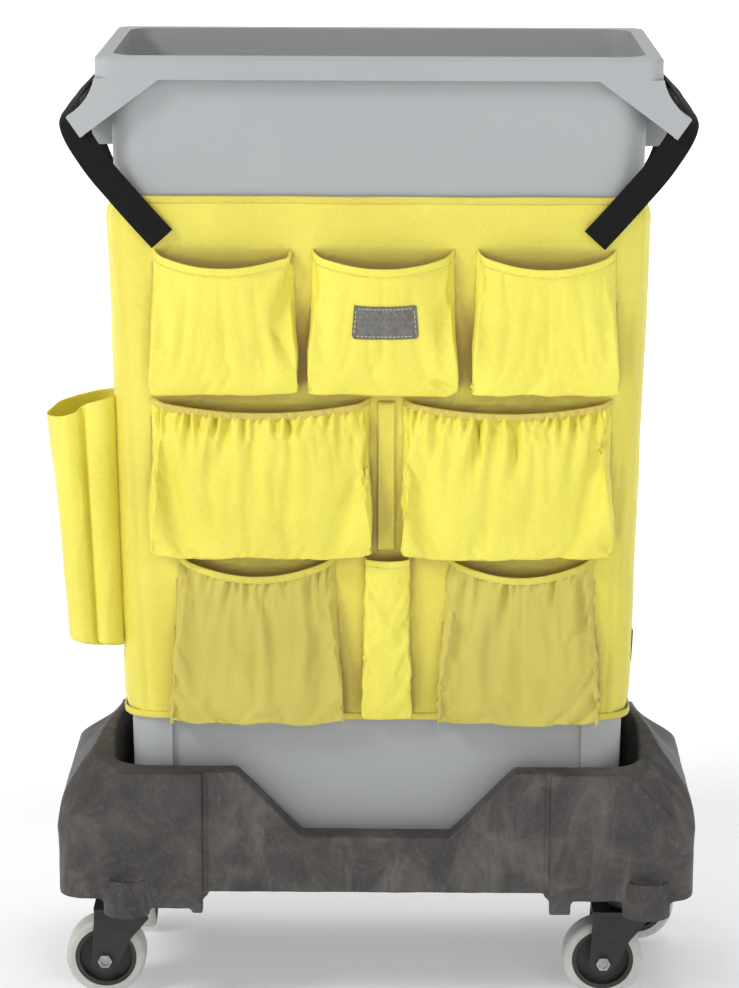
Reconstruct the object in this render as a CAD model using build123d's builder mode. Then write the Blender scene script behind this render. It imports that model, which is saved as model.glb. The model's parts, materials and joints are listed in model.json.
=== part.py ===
from build123d import *
import os
from math import atan, cos, degrees, radians, sin

os.makedirs("parts", exist_ok=True)

# A slim waste container with end handles, wrapped in a pocketed fabric caddy bag and standing in a caster
# dolly. Millimetres, +X to the right, +Y to the back, +Z up; the origin is on the floor under the centre.

# ---------------------------------------------------------------- driving dimensions
# wheels
wheel_dia = 76.2            # a 3 inch wheel
core_dia = 59.0
wheel_width = 30.0
axle_dia = 8.0
trail = 21.0                # axle behind the swivel axis
caster_x = 239.0            # swivel axes, from the centre
caster_y = 76.0
fork_top_z = 89.0
fork_gap = 38.0             # between the fork's legs
sheet = 3.0                 # fork steel
kingpin_dia = 10.0
running_gap = 0.05          # radial clearance of every turning fit
swivel_gap = 0.5            # axial clearance in the swivel
raceway_r = 16.0
plate_size = 64.0
screw_pitch = 46.0
screw_r = 3.0
screw_length = 14.0         # screw in the dolly

# dolly
dolly_half_x = 296.0
dolly_half_y = 148.0
skirt_z = 118.0             # lower edge of the ends
band_z = 124.0              # lower edge of the middle of the long sides
deck_z = 146.0              # the container stands on this
deck_thick = 8.0
ledge_z = 243.0             # top of the long sides
notch_z = 180.0             # bottom of the notch in the long sides
wing_z = 258.0              # top of the end wings, at their middle
wing_edge_x = 250.0         # inner edge of the wings
band_half_x = 158.0         # the set-back middle of each long side
set_back = 5.0
groove = 5.0                # grooves at both ends of the middle
groove_depth = 8.0
shell_wall = 6.0
lug_low_z = 102.0
lug_high_z = 139.0
lug_reach = 12.0            # how far the lugs stand out

# container
bin_height = 762.0          # 30 inches
recess = 4.5                # front and back between the corner columns
recess_half_x = 192.0
recess_top = 700.0
rim_half_x = 254.0
rim_half_y = 139.7          # 11 inches deep over the rim
handle_half_x = 279.4       # 22 inches over the handles
base_half_x = 228.5
base_half_y = 112.0
neck_half_x = 242.5         # just under the rim
wall = 3.0
corner_radius = 28.0
band_height = 20.0          # rim skirt

# bag
cloth = 2.2                 # coated fabric with its lining
cloth_gap = 0.8             # between the container and the cloth
bag_bottom_z = 288.0
bag_top_z = 782.0
binding = 6.0
webbing = 25.4              # strap width
webbing_thick = 2.0

# ---------------------------------------------------------------- worked-out values
rim_z = deck_z + bin_height
neck_z = rim_z - band_height
neck_half_y = base_half_y + neck_half_x - base_half_x
taper = (neck_half_x - base_half_x) / (neck_z - deck_z)
lean = atan(taper)                      # lean of every container wall
corner_offset = base_half_x - base_half_y
wheel_r = wheel_dia / 2
core_r = core_dia / 2
axle_r = axle_dia / 2
kingpin_r = kingpin_dia / 2
cloth_out = cloth_gap + cloth           # outer face of the bag, from the container's wall


def half_x(z):
    """Half width of the container's outside at height z."""
    return base_half_x + taper * (z - deck_z)


def half_y(z):
    """Half depth of the container's outside at height z."""
    return base_half_y + taper * (z - deck_z)


def save(piece, name):
    """Label a finished piece and write it to its own file."""
    piece.label = name
    export_step(piece, f"parts/{name}.step")


def frustum(z_low, z_high, grow, radius, mode=Mode.ADD):
    """A block that follows the container's taper, grown sideways by a distance."""
    ends = []
    for z in (z_low, z_high):
        with BuildSketch(Plane.XY.offset(z)) as end:
            RectangleRounded(2 * (half_x(z) + grow), 2 * (half_y(z) + grow), radius + grow)
        ends.append(end.sketch.face())
    loft(sections=ends, mode=mode)


# ---------------------------------------------------------------- dolly frame
arc_low_z = 185.0           # the end walls are upright below this
arc_high_z = 265.0          # where the curve of the ends would meet the wings' inner edge
wing_reach_y = 88.0         # the wings arch down to the ledge this far from the middle
well_gap = 3.0              # clearance round the container at the deck
well_gap_high = 6.5         # clearance in front and behind at the wings
well_radius = 30.0
ridge_high = (246.0, 232.0)     # x and z of the ridge on the face of each corner
ridge_low = (290.0, 180.0)
facet_rise = 22.0           # the facet behind a ridge climbs this much
facet_run = 40.0            # over this distance
side_hollow = 14.0          # width of the channel inside each long side
outer_y = dolly_half_y - set_back - shell_wall      # outer face of that channel
deck_low_z = deck_z - deck_thick
pad = plate_size + 4
pad_thick = 4.0             # left between a caster's pad and the deck
groove_x = band_half_x + groove / 2

with BuildPart() as dolly_frame:
    # the shape seen from the front: upright ends that curve in to the wings, with a ledge between them
    with BuildSketch(Plane.XZ):
        with BuildLine():
            Line((0, skirt_z), (dolly_half_x, skirt_z))
            Line((dolly_half_x, skirt_z), (dolly_half_x, arc_low_z))
            ThreePointArc((dolly_half_x, arc_low_z), (279, 229), (wing_edge_x, arc_high_z))
            Line((wing_edge_x, arc_high_z), (0, arc_high_z))
            Line((0, arc_high_z), (0, skirt_z))
        make_face()
        mirror(about=Plane.YZ)
    extrude(amount=dolly_half_y, both=True)
    # upright corners
    corners = dolly_frame.edges().filter_by(Axis.Z).group_by(Axis.X)
    fillet(corners[0] + corners[-1], 22)
    # the shape seen from the end: level ledges with the wings' low arch between them
    with BuildSketch(Plane.YZ):
        with BuildLine():
            Line((-dolly_half_y - 1, ledge_z), (-wing_reach_y, ledge_z))
            ThreePointArc((-wing_reach_y, ledge_z), (0, wing_z), (wing_reach_y, ledge_z))
            Line((wing_reach_y, ledge_z), (dolly_half_y + 1, ledge_z))
            Line((dolly_half_y + 1, ledge_z), (dolly_half_y + 1, arc_high_z + 1))
            Line((dolly_half_y + 1, arc_high_z + 1), (-dolly_half_y - 1, arc_high_z + 1))
            Line((-dolly_half_y - 1, arc_high_z + 1), (-dolly_half_y - 1, ledge_z))
        make_face()
    extrude(amount=dolly_half_x + 1, both=True, mode=Mode.SUBTRACT)
    # each corner is cut by a sloping facet that climbs from a ridge on the long side
    for side_x in (-1, 1):
        for side_y in (-1, 1):
            upper = Vector(side_x * ridge_high[0], side_y * dolly_half_y, ridge_high[1])
            lower = Vector(side_x * ridge_low[0], side_y * dolly_half_y, ridge_low[1])
            behind = upper + Vector(0, -side_y * facet_run, facet_rise)
            facing = (lower - upper).cross(behind - upper)
            if facing.Z < 0:
                facing = facing * -1
            split(bisect_by=Plane(origin=upper, z_dir=facing), keep=Keep.BOTTOM)
    # the well that holds the container, flared at the ends
    with BuildSketch(Plane.XY.offset(deck_z)):
        RectangleRounded(2 * (base_half_x + well_gap), 2 * (base_half_y + well_gap), well_radius)
    with BuildSketch(Plane.XY.offset(wing_z)):
        RectangleRounded(2 * wing_edge_x, 2 * (half_y(wing_z) + well_gap_high), well_radius)
    loft(mode=Mode.SUBTRACT)
    # the notch in each long side
    with BuildSketch(Plane.XZ):
        Polygon((-131, ledge_z + 1), (-70, notch_z), (70, notch_z), (131, ledge_z + 1), align=None)
    extrude(amount=dolly_half_y + 1, both=True, mode=Mode.SUBTRACT)
    # the middle of each long side is set back, with a groove at each end, and sits higher
    for side_y in (-1, 1):
        with BuildSketch(Plane.XY.offset(skirt_z)):
            with Locations((0, side_y * dolly_half_y)):
                Rectangle(2 * band_half_x, 2 * set_back)
            with Locations((-groove_x, side_y * dolly_half_y), (groove_x, side_y * dolly_half_y)):
                Rectangle(groove, 2 * groove_depth)
        extrude(amount=wing_z - skirt_z, mode=Mode.SUBTRACT)
    with BuildSketch(Plane.XY.offset(skirt_z)):
        Rectangle(2 * band_half_x, 2 * dolly_half_y)
    extrude(amount=band_z - skirt_z, mode=Mode.SUBTRACT)
    # hollow underneath: the long sides, the ends and the space below the deck
    for side_y in (-1, 1):
        with BuildSketch(Plane.XZ.offset(side_y * outer_y)):
            Polygon((-152, skirt_z), (-152, ledge_z - 8), (-136, ledge_z - 8), (-76, notch_z - shell_wall),
                    (76, notch_z - shell_wall), (136, ledge_z - 8), (152, ledge_z - 8), (152, skirt_z),
                    align=None)
        extrude(amount=-side_y * side_hollow, mode=Mode.SUBTRACT)
    for side_x in (-1, 1):
        with BuildSketch(Plane.XZ):
            Polygon((side_x * 254, skirt_z), (side_x * 290, skirt_z), (side_x * 290, 184),
                    (side_x * 274, 216), (side_x * 254, 234), align=None)
        extrude(amount=36, both=True, mode=Mode.SUBTRACT)
    with BuildSketch(Plane.XY.offset(skirt_z)):
        Rectangle(2 * 200, 2 * (outer_y - side_hollow - 4))
        Rectangle(2 * 238, 2 * 38)
    extrude(amount=deck_low_z - skirt_z, mode=Mode.SUBTRACT)
    # pads over the casters, with pilot holes for their screws
    caster_points = [(side_x * caster_x, side_y * caster_y) for side_x in (-1, 1) for side_y in (-1, 1)]
    with BuildSketch(Plane.XY.offset(skirt_z)):
        with Locations(*caster_points):
            Rectangle(pad, pad)
    extrude(amount=deck_z - pad_thick - skirt_z)
    with BuildSketch(Plane.XY.offset(skirt_z)):
        with Locations(*caster_points):
            with GridLocations(screw_pitch, screw_pitch, 2, 2):
                Circle(screw_r + running_gap)
    extrude(amount=screw_length, mode=Mode.SUBTRACT)
    # both long sides carry two lugs with a cupped top, two short feet beside the grooves and an apron
    for turn in (0, 180):
        front = Plane.XY.offset(lug_low_z).rotated((0, 0, turn))
        for lug_x in (-234, 253):
            with BuildSketch(front):
                with BuildLine():
                    Line((lug_x - 21, 3 - dolly_half_y), (lug_x + 21, 3 - dolly_half_y))
                    ThreePointArc((lug_x - 21, 3 - dolly_half_y), (lug_x, -dolly_half_y - lug_reach),
                                  (lug_x + 21, 3 - dolly_half_y))
                make_face()
                with Locations((lug_x, 6 - dolly_half_y)):
                    Rectangle(42, 8)
            extrude(amount=lug_high_z - lug_low_z)
            with BuildSketch(front.offset(lug_high_z - lug_low_z - 4)):
                with BuildLine():
                    Line((lug_x - 17, -dolly_half_y), (lug_x + 17, -dolly_half_y))
                    ThreePointArc((lug_x - 17, -dolly_half_y), (lug_x, 3 - dolly_half_y - lug_reach),
                                  (lug_x + 17, -dolly_half_y))
                make_face()
            extrude(amount=5, mode=Mode.SUBTRACT)
        with BuildSketch(front.offset(2)):
            for foot_x, foot_width in ((-168.5, 11), (173, 20)):
                with Locations((foot_x, 8 - dolly_half_y)):
                    Rectangle(foot_width, 15)
        extrude(amount=band_z - lug_low_z)
        with BuildSketch(front.offset(7)):
            with Locations((-194, 6 - dolly_half_y)):
                Rectangle(42, 11)
        extrude(amount=band_z - lug_low_z)
save(dolly_frame.part, "dolly_frame")

# ---------------------------------------------------------------- casters


def caster(tag, x, y, heading):
    """One swivel caster whose wheel trails from its swivel axis in the heading given, in degrees."""
    top = Plane.XY.move(Location((x, y, 0)))
    trailing = (cos(radians(heading)), sin(radians(heading)), 0)
    swivel = Plane(origin=(x, y, 0), x_dir=trailing, z_dir=(0, 0, 1))
    upright = Plane(origin=(x, y, 0), x_dir=swivel.x_dir, z_dir=swivel.y_dir * -1)

    with BuildPart() as top_plate:
        with BuildSketch(top.offset(skirt_z - sheet)):
            RectangleRounded(plate_size, plate_size, 5)
        extrude(amount=sheet)
        with BuildSketch(top.offset(fork_top_z + swivel_gap)):
            Circle(raceway_r)
        extrude(amount=skirt_z - sheet - fork_top_z - swivel_gap)
        fillet(top_plate.edges().filter_by(GeomType.CIRCLE).sort_by(Axis.Z)[0], 2)
        with BuildSketch(top.offset(fork_top_z)):
            Circle(kingpin_r + running_gap)
        extrude(amount=skirt_z - 1 - fork_top_z, mode=Mode.SUBTRACT)
        with BuildSketch(top.offset(skirt_z - sheet)):
            with GridLocations(screw_pitch, screw_pitch, 2, 2):
                Circle(screw_r + running_gap)
        extrude(amount=sheet, mode=Mode.SUBTRACT)
    save(top_plate.part, f"{tag}_top_plate")

    with BuildPart() as screws:
        with BuildSketch(top.offset(skirt_z - sheet - 3)):
            with GridLocations(screw_pitch, screw_pitch, 2, 2):
                RegularPolygon(4.2, 6)
        extrude(amount=3)
        with BuildSketch(top.offset(skirt_z - sheet)):
            with GridLocations(screw_pitch, screw_pitch, 2, 2):
                Circle(screw_r)
        extrude(amount=sheet + screw_length - 0.5)
    save(screws.part, f"{tag}_plate_screws")

    with BuildPart() as kingpin:
        with BuildSketch(top.offset(fork_top_z - sheet - swivel_gap - 4)):
            Circle(9)
        extrude(amount=4)
        with BuildSketch(top.offset(fork_top_z - sheet - swivel_gap)):
            Circle(kingpin_r)
        extrude(amount=skirt_z - 1.5 - fork_top_z + sheet + swivel_gap)
        chamfer(kingpin.edges().filter_by(GeomType.CIRCLE).sort_by(Axis.Z)[0], 1)
    save(kingpin.part, f"{tag}_kingpin")

    with BuildPart() as fork:
        with BuildSketch(swivel.offset(fork_top_z - sheet)):
            with Locations((5.5, 0)):
                RectangleRounded(53, fork_gap + 2 * sheet, 4)
        extrude(amount=sheet)
        for side in (-1, 1):
            with BuildSketch(upright.offset(side * (fork_gap / 2 + sheet / 2))):
                Polygon((-18, fork_top_z - 1), (31, fork_top_z - 1), (34, wheel_r), (8, wheel_r - 4),
                        (-4, 60), (-21, 80), align=None)
                with Locations((trail, wheel_r)):
                    Circle(13)
            extrude(amount=sheet / 2, both=True)
        with BuildSketch(swivel.offset(fork_top_z - sheet - 1)):
            Circle(kingpin_r + running_gap)
        extrude(amount=sheet + 2, mode=Mode.SUBTRACT)
        with BuildSketch(upright):
            with Locations((trail, wheel_r)):
                Circle(axle_r + running_gap)
        extrude(amount=fork_gap, both=True, mode=Mode.SUBTRACT)
    save(fork.part, f"{tag}_fork")

    axle_middle = swivel.from_local_coords((trail, 0, wheel_r))
    axle_line = Plane(origin=axle_middle, x_dir=upright.x_dir, z_dir=upright.z_dir)
    outer_leg = fork_gap / 2 + sheet
    with BuildPart() as axle:
        with BuildSketch(axle_line):
            Circle(axle_r)
        extrude(amount=outer_leg + 4, both=True)
        with BuildSketch(axle_line.offset(outer_leg)):
            RegularPolygon(7, 6)
        extrude(amount=4.5)
    save(axle.part, f"{tag}_axle_bolt")

    with BuildPart() as nut:
        with BuildSketch(axle_line.offset(-outer_leg)):
            RegularPolygon(7, 6)
            Circle(axle_r + running_gap, mode=Mode.SUBTRACT)
        extrude(amount=-5.5)
    save(nut.part, f"{tag}_axle_nut")

    with BuildPart() as core:
        with BuildSketch(axle_line):
            Circle(core_r)
        extrude(amount=wheel_width / 2 - 1, both=True)
        # dished faces between the rim and the hub
        for side in (-1, 1):
            with BuildSketch(axle_line.offset(side * wheel_width / 2)):
                Circle(core_r - 4)
                Circle(10, mode=Mode.SUBTRACT)
            extrude(amount=-side * 9, mode=Mode.SUBTRACT)
        with BuildSketch(axle_line):
            Circle(10)
        extrude(amount=fork_gap / 2 - swivel_gap, both=True)
        with BuildSketch(axle_line):
            Circle(axle_r + running_gap)
        extrude(amount=fork_gap, both=True, mode=Mode.SUBTRACT)
    save(core.part, f"{tag}_wheel_core")

    with BuildPart() as tread:
        with BuildSketch(axle_line):
            Circle(wheel_r)
        extrude(amount=wheel_width / 2, both=True)
        fillet(tread.edges().filter_by(GeomType.CIRCLE), 5)
        with BuildSketch(axle_line):
            Circle(core_r)
        extrude(amount=wheel_width, both=True, mode=Mode.SUBTRACT)
    save(tread.part, f"{tag}_tread")


caster("caster_front_left", -caster_x, -caster_y, 180)
caster("caster_front_right", caster_x, -caster_y, 180)
caster("caster_rear_left", -caster_x, caster_y, 90)
caster("caster_rear_right", caster_x, caster_y, 0)

# ---------------------------------------------------------------- container
hood_tip_z = 854.0
hood_lip = (267.0, 836.0)   # lower edge of the hood's end face
rib_z = 818.0               # lower edge of the ribs under the hood
rib_y = 45.0

with BuildPart() as bin_tub:
    frustum(deck_z, neck_z, 0, corner_radius)
    # front and back are recessed between the corner columns, up to below the bag's top
    for side_y in (-1, 1):
        with BuildSketch(Plane.YZ):
            Polygon((side_y * (half_y(deck_z) - recess), deck_z),
                    (side_y * (half_y(recess_top) - recess), recess_top),
                    (side_y * 200, recess_top + 100), (side_y * 200, deck_z), align=None)
        extrude(amount=recess_half_x, both=True, mode=Mode.SUBTRACT)
    # rim: a flat flange with a short skirt
    with BuildSketch(Plane.XY.offset(neck_z)):
        RectangleRounded(2 * rim_half_x, 2 * rim_half_y, 14)
    extrude(amount=band_height)
    fillet(bin_tub.edges().group_by(Axis.Z)[-1], 3)
    with BuildSketch(Plane.XY.offset(neck_z)):
        RectangleRounded(2 * (rim_half_x - wall), 2 * (rim_half_y - wall), 12)
        RectangleRounded(2 * neck_half_x, 2 * neck_half_y, corner_radius, mode=Mode.SUBTRACT)
    extrude(amount=band_height - wall, mode=Mode.SUBTRACT)
    # handle hoods: a gusset at each corner, a curved roof that ends in a lip, and two ribs
    for side_x in (-1, 1):
        for face_y in (-rim_half_y, rim_half_y - wall):
            with BuildSketch(Plane.XZ.offset(-face_y)):
                with BuildLine():
                    Line((side_x * 195, neck_z + 1), (side_x * hood_lip[0], hood_lip[1]))
                    Line((side_x * hood_lip[0], hood_lip[1]), (side_x * handle_half_x, hood_tip_z))
                    ThreePointArc((side_x * handle_half_x, hood_tip_z), (side_x * 262.5, 869.5),
                                  (side_x * rim_half_x, neck_z + 1))
                    Line((side_x * rim_half_x, neck_z + 1), (side_x * 195, neck_z + 1))
                make_face()
            extrude(amount=-wall)
        with BuildSketch(Plane.XZ):
            with BuildLine():
                ThreePointArc((side_x * rim_half_x, neck_z + 1), (side_x * 262.5, 869.5),
                              (side_x * handle_half_x, hood_tip_z))
                Line((side_x * handle_half_x, hood_tip_z), (side_x * hood_lip[0], hood_lip[1]))
                Line((side_x * hood_lip[0], hood_lip[1]), (side_x * (hood_lip[0] - 3.5), hood_lip[1] + 2))
                Line((side_x * (hood_lip[0] - 3.5), hood_lip[1] + 2), (side_x * 274, hood_tip_z - 1.5))
                ThreePointArc((side_x * 274, hood_tip_z - 1.5), (side_x * 258.8, 867.5),
                              (side_x * (rim_half_x - wall), neck_z + 1))
                Line((side_x * (rim_half_x - wall), neck_z + 1), (side_x * rim_half_x, neck_z + 1))
            make_face()
        extrude(amount=rim_half_y, both=True)
        for y in (-rib_y, rib_y):
            with BuildSketch(Plane.XZ.offset(-y)):
                Polygon((side_x * (half_x(rib_z) - 1), rib_z), (side_x * 262, rib_z),
                        (side_x * (hood_lip[0] - 1), hood_lip[1] + 1), (side_x * 275, hood_tip_z - 0.5),
                        (side_x * 260, 868.5), (side_x * (rim_half_x - 1), neck_z + 2),
                        (side_x * (neck_half_x - 1), neck_z + 2), align=None)
            extrude(amount=1.5, both=True)
    # inside
    floor_z = deck_z + 5
    thick = wall + recess               # from the outside of a corner column to the recessed inside
    with BuildSketch(Plane.XY.offset(floor_z)):
        RectangleRounded(2 * (half_x(floor_z) - thick), 2 * (half_y(floor_z) - thick), 22)
    with BuildSketch(Plane.XY.offset(recess_top)):
        RectangleRounded(2 * (half_x(recess_top) - wall), 2 * (half_y(recess_top) - thick), 24.5)
    loft(mode=Mode.SUBTRACT)
    with BuildSketch(Plane.XY.offset(recess_top)):
        RectangleRounded(2 * (half_x(recess_top) - wall), 2 * (half_y(recess_top) - thick), 24.5)
    with BuildSketch(Plane.XY.offset(neck_z)):
        RectangleRounded(2 * (neck_half_x - wall), 2 * (neck_half_y - wall), 24.5)
    loft(mode=Mode.SUBTRACT)
    with BuildSketch(Plane.XY.offset(neck_z)):
        RectangleRounded(2 * (neck_half_x - wall), 2 * (neck_half_y - wall), 24.5)
    extrude(amount=band_height, mode=Mode.SUBTRACT)
save(bin_tub.part, "bin_tub")

# ---------------------------------------------------------------- bag sleeve
sleeve_low = bag_bottom_z + binding
sleeve_high = bag_top_z - binding
reach = 260                 # how far the wedges reach out

panels = (("bag_front_panel", 0), ("bag_right_panel", 90), ("bag_back_panel", 180), ("bag_left_panel", 270))
for name, turn in panels:
    with BuildPart() as panel:
        frustum(sleeve_low, sleeve_high, cloth_out, corner_radius)
        frustum(sleeve_low, sleeve_high, cloth_gap, corner_radius, mode=Mode.SUBTRACT)
        # keep what faces one way: the cuts run through the upright planes of the corner lines
        with BuildSketch(Plane.XY.rotated((0, 0, turn))):
            if turn in (0, 180):
                Polygon((-corner_offset, 0), (corner_offset, 0), (corner_offset + reach, -reach),
                        (-corner_offset - reach, -reach), align=None)
            else:
                Polygon((0, -corner_offset), (reach, -corner_offset - reach),
                        (-reach, -corner_offset - reach), align=None)
        extrude(amount=rim_z, mode=Mode.INTERSECT)
    save(panel.part, name)

for name, z in (("bag_bottom_binding", bag_bottom_z), ("bag_top_binding", sleeve_high)):
    with BuildPart() as band:
        frustum(z, z + binding, cloth_out + 0.8, corner_radius)
        frustum(z, z + binding, cloth_gap - 0.2, corner_radius, mode=Mode.SUBTRACT)
    save(band.part, name)

# ---------------------------------------------------------------- pockets
pocket_cloth = 2.0


def wall_planes(side):
    """The upright planes through the bag's outer face at its bottom: seen edge on, and seen face on."""
    if side == "front":
        out = Vector(0, -1, 0)
        along = Vector(1, 0, 0)
        distance = half_y(bag_bottom_z)
    else:
        out = Vector(-1, 0, 0)
        along = Vector(0, -1, 0)
        distance = half_x(bag_bottom_z)
    upward = out * sin(lean) + Vector(0, 0, cos(lean))
    outward = out * cos(lean) - Vector(0, 0, sin(lean))
    foot = out * (distance + cloth_out + 0.05) + Vector(0, 0, bag_bottom_z)
    return Plane(origin=foot, x_dir=upward, z_dir=along), Plane(origin=foot, x_dir=along, z_dir=outward)


def pouch(name, side, ends, heights, depths, floor=True):
    """An open-topped pocket on a wall of the bag: a front and two sides, and a floor unless it is a band.
    ends are along the wall, heights and depths are at the bottom and at the top."""
    section = wall_planes(side)[0].offset((ends[0] + ends[1]) / 2)
    half_width = (ends[1] - ends[0]) / 2
    low = heights[0] - bag_bottom_z
    high = heights[1] - bag_bottom_z
    slope = (depths[1] - depths[0]) / (high - low)
    inside_low = low + pocket_cloth if floor else low - 1
    inside_high = high + 1
    depth_low = depths[0] - pocket_cloth + slope * (inside_low - low)
    depth_high = depths[1] - pocket_cloth + slope
    with BuildPart() as pocket:
        with BuildSketch(section):
            Polygon((low, 0), (low, depths[0]), (high, depths[1]), (high, 0), align=None)
        extrude(amount=half_width, both=True)
        with BuildSketch(section):
            Polygon((inside_low, -1), (inside_low, depth_low), (inside_high, depth_high), (inside_high, -1),
                    align=None)
        extrude(amount=half_width - pocket_cloth, both=True, mode=Mode.SUBTRACT)
    save(pocket.part, name)


# the top row: three plain pockets that stand out at the mouth
top_row = (604.0, 736.0)
top_depths = (16.0, 30.0)
for name, ends in (("left", (-208, -72)), ("centre", (-64, 73)), ("right", (85, 219))):
    pouch(f"pocket_top_{name}", "front", ends, top_row, top_depths)

# the middle row: two wide pockets gathered on elastic at the mouth
gather_low = 452.0
gather_high = 594.0
edge = 6.0                  # height of an elastic casing or a mouth binding
for name, ends in (("left", (-209, -5)), ("right", (21, 216))):
    pouch(f"pocket_middle_{name}", "front", ends, (gather_low, gather_high - edge), (22, 16))
    pouch(f"elastic_middle_{name}", "front", ends, (gather_high - edge, gather_high), (16, 15.5), floor=False)

# the bottom row: two mesh pockets with a bound mouth and a narrow plain one between them
mesh_low = 295.0
mesh_high = 446.0
for name, ends in (("left", (-189, -34)), ("right", (60, 204))):
    pouch(f"mesh_pocket_{name}", "front", ends, (mesh_low, mesh_high - edge), (14, 18))
    pouch(f"mesh_binding_{name}", "front", ends, (mesh_high - edge, mesh_high), (18, 18.5), floor=False)
pouch("narrow_pocket", "front", (-13, 32), (mesh_low, mesh_high), (12, 16))

# a tall pouch on the left side
pouch("side_pouch", "left", (18, 108), (363, 591), (48, 64))

face_on = wall_planes("front")[1]
with BuildPart() as centre_strip:
    with BuildSketch(face_on):
        with Locations((8, (gather_low + gather_high) / 2 - bag_bottom_z)):
            Rectangle(16, gather_high - gather_low)
    extrude(amount=pocket_cloth)
save(centre_strip.part, "centre_strip")

# the patch lies on the sloping front of the middle top pocket
pocket_lean = lean + atan((top_depths[1] - top_depths[0]) / (top_row[1] - top_row[0]))
patch_up = Vector(0, -sin(pocket_lean), cos(pocket_lean))
patch_foot = face_on.from_local_coords((6.5, top_row[0] - bag_bottom_z, top_depths[0] + 0.05))
with BuildPart() as patch:
    with BuildSketch(Plane(origin=patch_foot, x_dir=(1, 0, 0), z_dir=Vector(1, 0, 0).cross(patch_up))):
        with Locations((0, 69)):
            RectangleRounded(57, 29, 4)
    extrude(amount=1.2)
save(patch.part, "badge_patch")

# a small webbing tab hangs against the right side
tab_low_z = 339.0
tab_height = 30.0
tab_x = half_x(tab_low_z + tab_height / 2) + cloth_out + 0.8
with BuildPart() as tab:
    with BuildSketch(Plane.XY.offset(tab_low_z)):
        with Locations((tab_x + webbing_thick / 2, -88)):
            Rectangle(webbing_thick, 14)
    extrude(amount=tab_height)
save(tab.part, "pull_tab")

# ---------------------------------------------------------------- straps
# each strap is sewn to the bag's front and back corners and runs over the handle hood between them
leg_y = half_y(bag_top_z) + cloth_out + 1.2
leg_foot = (194.0, 748.0)           # x and z of the leg's middle line
leg_head = (266.0, 822.0)
lip_clear = 0.7
lip_run = Vector(handle_half_x - hood_lip[0], 0, hood_tip_z - hood_lip[1])
hood_run = Vector(rim_half_x - handle_half_x, 0, neck_z - hood_tip_z)
strap_end_y = leg_y + webbing_thick + 0.5

for name, side_x in (("strap_left", -1), ("strap_right", 1)):
    leg_run = Vector(side_x * (leg_head[0] - leg_foot[0]), leg_head[1] - leg_foot[1])
    leg_angle = degrees(atan(leg_run.Y / leg_run.X))
    leg_middle = (side_x * (leg_foot[0] + leg_head[0]) / 2, (leg_foot[1] + leg_head[1]) / 2)
    with BuildPart() as strap:
        # flat legs at the front and the back
        for side_y in (-1, 1):
            with BuildSketch(Plane.XZ.offset(-side_y * leg_y)):
                with Locations(leg_middle):
                    Rectangle(leg_run.length, webbing, rotation=leg_angle)
            extrude(amount=-side_y * webbing_thick)
        # up the end face of the lip, at both ends of the hood
        outward = Vector(side_x * lip_run.Z, 0, -lip_run.X).normalized()
        lip_up = Vector(side_x * lip_run.X, 0, lip_run.Z).normalized()
        lip_start = Vector(side_x * hood_lip[0], 0, hood_lip[1]) + outward * lip_clear - lip_up * 16
        for side_y in (-1, 1):
            middle_y = side_y * (strap_end_y - webbing / 2)
            with BuildSketch(Plane(origin=lip_start, x_dir=lip_up, z_dir=outward)):
                with Locations((20.5, middle_y * -side_x)):
                    Rectangle(41, webbing)
            extrude(amount=webbing_thick)
        # along the hood's hollow from front to back
        above = Vector(side_x * hood_run.Z, 0, -hood_run.X).normalized()
        hood_up = Vector(side_x * hood_run.X, 0, hood_run.Z).normalized()
        hood_start = Vector(side_x * handle_half_x, 0, hood_tip_z) + above * lip_clear
        with BuildSketch(Plane(origin=hood_start, x_dir=hood_up, z_dir=above)):
            with Locations((webbing / 2, 0)):
                Rectangle(webbing, 2 * strap_end_y)
        extrude(amount=webbing_thick)
    save(strap.part, name)
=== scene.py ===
import json
import math

import bmesh
import bpy
import numpy as np
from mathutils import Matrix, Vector, noise
from mathutils.bvhtree import BVHTree


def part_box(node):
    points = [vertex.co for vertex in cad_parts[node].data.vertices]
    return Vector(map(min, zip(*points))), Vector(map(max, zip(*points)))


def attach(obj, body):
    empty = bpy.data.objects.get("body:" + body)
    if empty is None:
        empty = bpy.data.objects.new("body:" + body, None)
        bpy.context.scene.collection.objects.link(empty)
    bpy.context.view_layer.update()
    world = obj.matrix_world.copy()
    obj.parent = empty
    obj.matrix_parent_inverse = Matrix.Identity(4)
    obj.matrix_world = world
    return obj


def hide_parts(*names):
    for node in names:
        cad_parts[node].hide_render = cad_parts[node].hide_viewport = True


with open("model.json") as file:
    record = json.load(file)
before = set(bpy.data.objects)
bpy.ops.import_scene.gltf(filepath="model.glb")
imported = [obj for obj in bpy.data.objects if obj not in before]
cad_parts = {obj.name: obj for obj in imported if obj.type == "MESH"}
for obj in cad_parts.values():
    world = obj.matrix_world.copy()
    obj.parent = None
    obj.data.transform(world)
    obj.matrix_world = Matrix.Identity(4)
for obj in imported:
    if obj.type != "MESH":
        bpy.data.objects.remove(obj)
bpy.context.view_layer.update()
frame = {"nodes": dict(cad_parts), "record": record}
nodes = frame["nodes"]
scene = bpy.context.scene
MM = 0.001

# ---------------------------------------------------------------- shape of the bag, from the frame
low_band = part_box("bag_bottom_binding")
high_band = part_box("bag_top_binding")
BAG_LOW = low_band[0].z
BAG_HIGH = high_band[1].z
PROUD = 0.8 * MM                # how far a binding stands out from the cloth
CORNER = 31 * MM                # radius of the bag's upright corners
LOW_X = low_band[1].x - PROUD
LOW_Y = low_band[1].y - PROUD
HIGH_X = high_band[1].x - PROUD
HIGH_Y = high_band[1].y - PROUD


def bag_half(z):
    """Half width and half depth of the bag's outer face at a height."""
    t = (z - BAG_LOW) / (BAG_HIGH - BAG_LOW)
    return LOW_X + (HIGH_X - LOW_X) * t, LOW_Y + (HIGH_Y - LOW_Y) * t


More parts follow.
